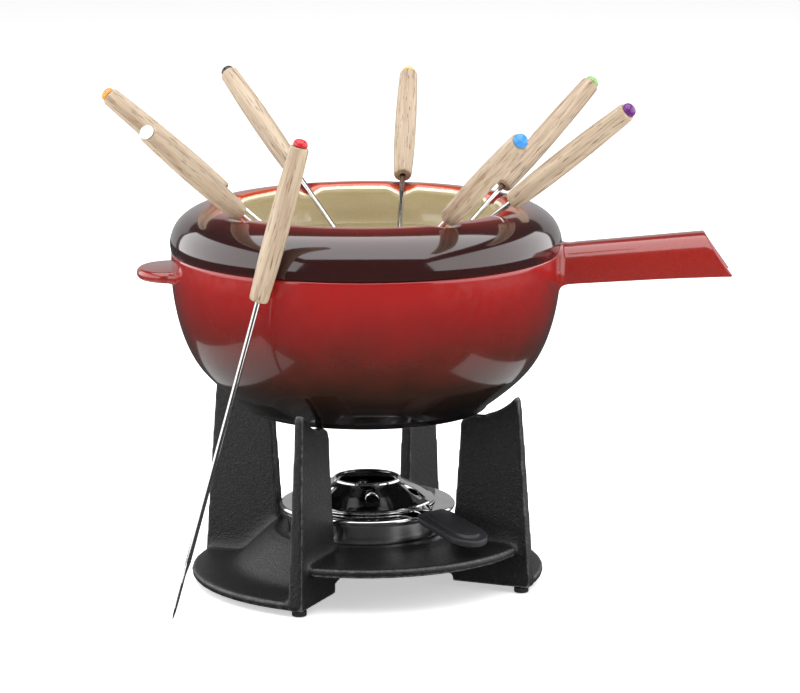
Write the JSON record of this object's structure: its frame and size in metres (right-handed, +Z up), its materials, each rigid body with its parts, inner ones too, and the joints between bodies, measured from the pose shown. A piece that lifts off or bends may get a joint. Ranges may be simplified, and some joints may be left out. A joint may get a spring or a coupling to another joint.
{
  "type": "fondue pot set",
  "caption": "Enamelled iron fondue pot with a long handle, splash ring, colour-coded forks, and a cast four-legged stand over a spirit burner with a regulator.",
  "frame": {"origin": "centre of the whole set's outline on the table top, about 29 mm to the right of the pot's vertical axis and 10 mm behind it", "axes": "+Z up, +X from the pot towards its long handle, -Y towards the front, where the burner's lever is"},
  "size_m": [0.3598, 0.299, 0.2839],
  "materials": {
    "pot_enamel": "gloss enamel, red shading to black under the bowl, cream inside",
    "ring_enamel": "gloss enamel, deep maroon",
    "stand_iron": "fine-grained black casting",
    "foot_rubber": "matt",
    "handle_wood": "clear varnish",
    "fork_steel": "bright",
    "burner_steel": "polished",
    "gauze_steel": "woven wire",
    "fuel_wadding": "mineral wool",
    "grip_plastic": "satin black",
    "cap_white": "gloss",
    "cap_orange": "gloss",
    "cap_black": "gloss",
    "cap_yellow": "gloss",
    "cap_green": "gloss",
    "cap_purple": "gloss",
    "cap_blue": "gloss",
    "cap_red": "gloss"
  },
  "bodies": {
    "stand": {"stand": "stand_iron", "foot_front_left": "foot_rubber", "foot_front_right": "foot_rubber", "foot_back_right": "foot_rubber", "foot_back_left": "foot_rubber"},
    "burner_cup": {"burner_cup": "burner_steel", "fuel_pad": "fuel_wadding", "wick_gauze": "gauze_steel"},
    "burner_cover": {"burner_cover": "burner_steel"},
    "regulator": {"regulator_hood": "burner_steel", "regulator_lever": "burner_steel", "lever_grip": "grip_plastic"},
    "pot": {"pot": "pot_enamel", "long_handle": "pot_enamel", "lug": "pot_enamel"},
    "splash_ring": {"splash_ring": "ring_enamel"},
    "fork_white": {"fork_white_shaft": "fork_steel", "fork_white_handle": "handle_wood", "fork_white_cap": "cap_white"},
    "fork_orange": {"fork_orange_shaft": "fork_steel", "fork_orange_handle": "handle_wood", "fork_orange_cap": "cap_orange"},
    "fork_black": {"fork_black_shaft": "fork_steel", "fork_black_handle": "handle_wood", "fork_black_cap": "cap_black"},
    "fork_yellow": {"fork_yellow_shaft": "fork_steel", "fork_yellow_handle": "handle_wood", "fork_yellow_cap": "cap_yellow"},
    "fork_green": {"fork_green_shaft": "fork_steel", "fork_green_handle": "handle_wood", "fork_green_cap": "cap_green"},
    "fork_purple": {"fork_purple_shaft": "fork_steel", "fork_purple_handle": "handle_wood", "fork_purple_cap": "cap_purple"},
    "fork_blue": {"fork_blue_shaft": "fork_steel", "fork_blue_handle": "handle_wood", "fork_blue_cap": "cap_blue"},
    "fork_red": {"fork_red_shaft": "fork_steel", "fork_red_handle": "handle_wood", "fork_red_cap": "cap_red"}
  },
  "joints": [
    {"name": "burner_lift", "type": "slide", "parent": "stand", "child": "burner_cup", "axis": [0, 0, 1], "range_m": [0, 0.02]},
    {"name": "cover_lift", "type": "slide", "parent": "burner_cup", "child": "burner_cover", "axis": [0, 0, 1], "range_m": [0, 0.02]},
    {"name": "regulator_turn", "type": "hinge", "parent": "burner_cover", "child": "regulator", "pos_m": [-0.02707, -0.01001, 0.046], "axis": [0, 0, -1], "range_deg": [0, 30]},
    {"name": "pot_lift", "type": "slide", "parent": "stand", "child": "pot", "axis": [0, 0, 1], "range_m": [0, 0.06]},
    {"name": "ring_lift", "type": "slide", "parent": "pot", "child": "splash_ring", "axis": [0, 0, 1], "range_m": [0, 0.05]},
    {"name": "fork_white_pull", "type": "slide", "parent": "splash_ring", "child": "fork_white", "axis": [-0.5269, -0.6126, 0.5892], "range_m": [0, 0.19]},
    {"name": "fork_orange_pull", "type": "slide", "parent": "splash_ring", "child": "fork_orange", "axis": [-0.7538, 0.2909, 0.5892], "range_m": [0, 0.19]},
    {"name": "fork_black_pull", "type": "slide", "parent": "splash_ring", "child": "fork_black", "axis": [-0.4669, 0.6743, 0.5721], "range_m": [0, 0.19]},
    {"name": "fork_yellow_pull", "type": "slide", "parent": "splash_ring", "child": "fork_yellow", "axis": [0.0439, 0.8109, 0.5835], "range_m": [0, 0.19]},
    {"name": "fork_green_pull", "type": "slide", "parent": "splash_ring", "child": "fork_green", "axis": [0.5979, 0.5327, 0.599], "range_m": [0, 0.19]},
    {"name": "fork_purple_pull", "type": "slide", "parent": "splash_ring", "child": "fork_purple", "axis": [0.7048, -0.3453, 0.6198], "range_m": [0, 0.19]},
    {"name": "fork_blue_pull", "type": "slide", "parent": "splash_ring", "child": "fork_blue", "axis": [0.4179, -0.701, 0.5779], "range_m": [0, 0.19]},
    {"name": "fork_red_pull", "type": "slide", "parent": "splash_ring", "child": "fork_red", "axis": [0.2646, -0.0274, 0.964], "range_m": [0, 0.06]}
  ]
}
